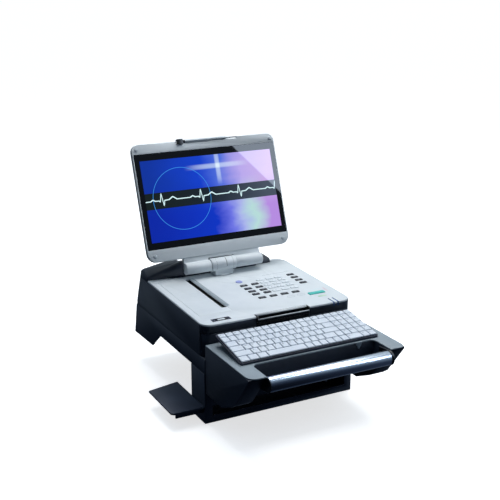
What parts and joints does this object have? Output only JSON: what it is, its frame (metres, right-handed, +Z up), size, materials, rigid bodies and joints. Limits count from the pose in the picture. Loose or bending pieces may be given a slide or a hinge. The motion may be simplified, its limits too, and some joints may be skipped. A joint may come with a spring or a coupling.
{
  "type": "ecg machine",
  "caption": "Resting electrocardiograph with folding display, chart printer, keypad, loose keyboard and the trolley head with its handle that carries them.",
  "frame": {"origin": "centre of the four-hole bolt pattern in the flange at the foot of the column, on its lower face", "axes": "+Z up, +X to the operator's right, +Y away from the operator"},
  "size_m": [0.499, 0.693, 0.6061],
  "materials": {
    "navy_plastic": "fine moulded texture",
    "light_plastic": "fine moulded texture",
    "grey_plastic": "satin",
    "tray_plastic": "fine moulded texture",
    "black_plastic": "satin",
    "steel": "satin",
    "circuit_board": "solder mask",
    "battery_wrap": "shrink film",
    "ceramic_head": "glazed ceramic strip",
    "chart_paper": "thermal chart paper",
    "rubber": "matte",
    "gear_plastic": "acetal",
    "brass": "machined",
    "dark_key": "silicone key cap",
    "pale_key": "silicone key cap",
    "teal_key": "silicone key cap",
    "violet_key": "silicone key cap",
    "light_pipe": "clear blue polycarbonate",
    "cover_glass": "clear glass, black printed border",
    "screen": "lit liquid-crystal panel",
    "board_case": "satin",
    "white_key": "satin key cap",
    "navy_metal": "powder coat",
    "anodised_aluminium": "brushed, anodised"
  },
  "bodies": {
    "head": {"unit_base": "navy_plastic", "top_cover": "light_plastic", "rear_housing": "navy_plastic", "side_panel": "black_plastic", "patient_socket": "grey_plastic", "data_sockets": "steel", "mains_inlet": "black_plastic", "main_board": "circuit_board", "power_supply": "steel", "battery_pack": "battery_wrap", "fan_frame": "black_plastic", "recorder_frame": "steel", "thermal_head": "ceramic_head", "feed_motor": "steel", "tear_bar": "steel", "lid_hinge_pin": "steel", "lid_button_bezel": "black_plastic", "keypad_board": "circuit_board", "status_lights": "light_pipe", "front_grip": "black_plastic", "hinge_post": "light_plastic", "hinge_bracket": "steel", "hinge_shaft": "steel", "cradle": "navy_plastic", "column": "navy_metal", "column_flange": "steel", "tray_body": "navy_plastic", "tray_top": "tray_plastic", "handle_bar": "anodised_aluminium", "handle_brackets": "black_plastic", "side_shelf": "navy_metal"},
    "fan": {"fan_rotor": "black_plastic"},
    "paper": {"paper_roll": "chart_paper", "paper_spindle": "black_plastic"},
    "platen": {"platen_roller": "rubber", "platen_gear": "gear_plastic"},
    "motor_shaft": {"motor_pinion": "brass"},
    "lid": {"recorder_lid": "light_plastic", "lid_arms": "light_plastic"},
    "lid_latch_button": {"lid_button": "light_plastic"},
    "dark_key_group": {"dark_keys": "dark_key"},
    "white_key_group": {"white_keys": "pale_key"},
    "side_key_group": {"side_keys": "dark_key"},
    "bottom_key_group": {"bottom_keys": "dark_key"},
    "start_button": {"start_key": "teal_key"},
    "power_button": {"power_key": "violet_key"},
    "display": {"hinge_barrels": "light_plastic", "display_frame": "light_plastic", "display_glass": "cover_glass", "lcd_panel": "screen", "display_rear_shell": "navy_plastic", "display_bumpers": "grey_plastic", "stylus_holder": "black_plastic"},
    "pen": {"stylus": "grey_plastic"},
    "keyboard": {"keyboard_case": "board_case"},
    "function_key_group": {"function_keys": "white_key"},
    "letter_key_group": {"letter_keys": "white_key"},
    "number_key_group": {"number_keys": "white_key"},
    "foot_left": {"keyboard_foot_left": "black_plastic"},
    "foot_right": {"keyboard_foot_right": "black_plastic"}
  },
  "joints": [
    {"name": "display_tilt", "type": "hinge", "parent": "head", "child": "display", "pos_m": [0, 0.275, 0.2825], "axis": [-1, 0, 0], "range_deg": [-113, 15]},
    {"name": "stylus_draw", "type": "slide", "parent": "display", "child": "pen", "axis": [1, 0, 0], "range_m": [0, 0.018]},
    {"name": "lid_swing", "type": "hinge", "parent": "head", "child": "lid", "pos_m": [-0.197, -0.03485, 0.241], "axis": [0, -0.9997, -0.0244], "range_deg": [0, 85]},
    {"name": "lid_button_press", "type": "slide", "parent": "head", "child": "lid_latch_button", "axis": [0, 0.0244, -0.9997], "range_m": [0, 0.0012], "stiffness_N_per_m": 400},
    {"name": "dark_keys_press", "type": "slide", "parent": "head", "child": "dark_key_group", "axis": [0, 0.0244, -0.9997], "range_m": [0, 0.0012], "stiffness_N_per_m": 600},
    {"name": "white_keys_press", "type": "slide", "parent": "head", "child": "white_key_group", "axis": [0, 0.0244, -0.9997], "range_m": [0, 0.0012], "stiffness_N_per_m": 800},
    {"name": "side_keys_press", "type": "slide", "parent": "head", "child": "side_key_group", "axis": [0, 0.0244, -0.9997], "range_m": [0, 0.0012], "stiffness_N_per_m": 400},
    {"name": "bottom_keys_press", "type": "slide", "parent": "head", "child": "bottom_key_group", "axis": [0, 0.0244, -0.9997], "range_m": [0, 0.0012], "stiffness_N_per_m": 400},
    {"name": "start_key_press", "type": "slide", "parent": "head", "child": "start_button", "axis": [0, 0.0244, -0.9997], "range_m": [0, 0.0012], "stiffness_N_per_m": 400},
    {"name": "power_key_press", "type": "slide", "parent": "head", "child": "power_button", "axis": [0, 0.0244, -0.9997], "range_m": [0, 0.0012], "stiffness_N_per_m": 300},
    {"name": "platen_turn", "type": "hinge", "parent": "head", "child": "platen", "pos_m": [-0.121, -0.03468, 0.234], "axis": [0, 0.9997, 0.0244], "continuous": true},
    {"name": "motor_turn", "type": "hinge", "parent": "head", "child": "motor_shaft", "pos_m": [-0.121, -0.03439, 0.22201], "axis": [0, 0.9997, 0.0244], "continuous": true},
    {"name": "paper_turn", "type": "hinge", "parent": "head", "child": "paper", "pos_m": [-0.153, -0.03419, 0.21401], "axis": [0, 0.9997, 0.0244], "continuous": true},
    {"name": "fan_turn", "type": "hinge", "parent": "head", "child": "fan", "pos_m": [-0.128, 0.38138, 0.20048], "axis": [0, 0.9336, 0.3584], "continuous": true},
    {"name": "keyboard_lift", "type": "slide", "parent": "head", "child": "keyboard", "axis": [0, 0, 1], "range_m": [0, 0.08]},
    {"name": "function_keys_press", "type": "slide", "parent": "keyboard", "child": "function_key_group", "axis": [0, 0.1564, -0.9877], "range_m": [0, 0.0015], "stiffness_N_per_m": 800},
    {"name": "letter_keys_press", "type": "slide", "parent": "keyboard", "child": "letter_key_group", "axis": [0, 0.1564, -0.9877], "range_m": [0, 0.0015], "stiffness_N_per_m": 2500},
    {"name": "number_keys_press", "type": "slide", "parent": "keyboard", "child": "number_key_group", "axis": [0, 0.1564, -0.9877], "range_m": [0, 0.0015], "stiffness_N_per_m": 900},
    {"name": "foot_left_fold", "type": "hinge", "parent": "keyboard", "child": "foot_left", "pos_m": [-0.1426, -0.0688, 0.22313], "axis": [-1, 0, 0], "range_deg": [0, 88]},
    {"name": "foot_right_fold", "type": "hinge", "parent": "keyboard", "child": "foot_right", "pos_m": [0.1374, -0.0688, 0.22313], "axis": [-1, 0, 0], "range_deg": [0, 88]}
  ],
  "couplings": [
    {"joint": "motor_turn", "follows": "platen_turn", "ratio": -1.5},
    {"joint": "paper_turn", "follows": "platen_turn", "ratio": 0.32}
  ]
}
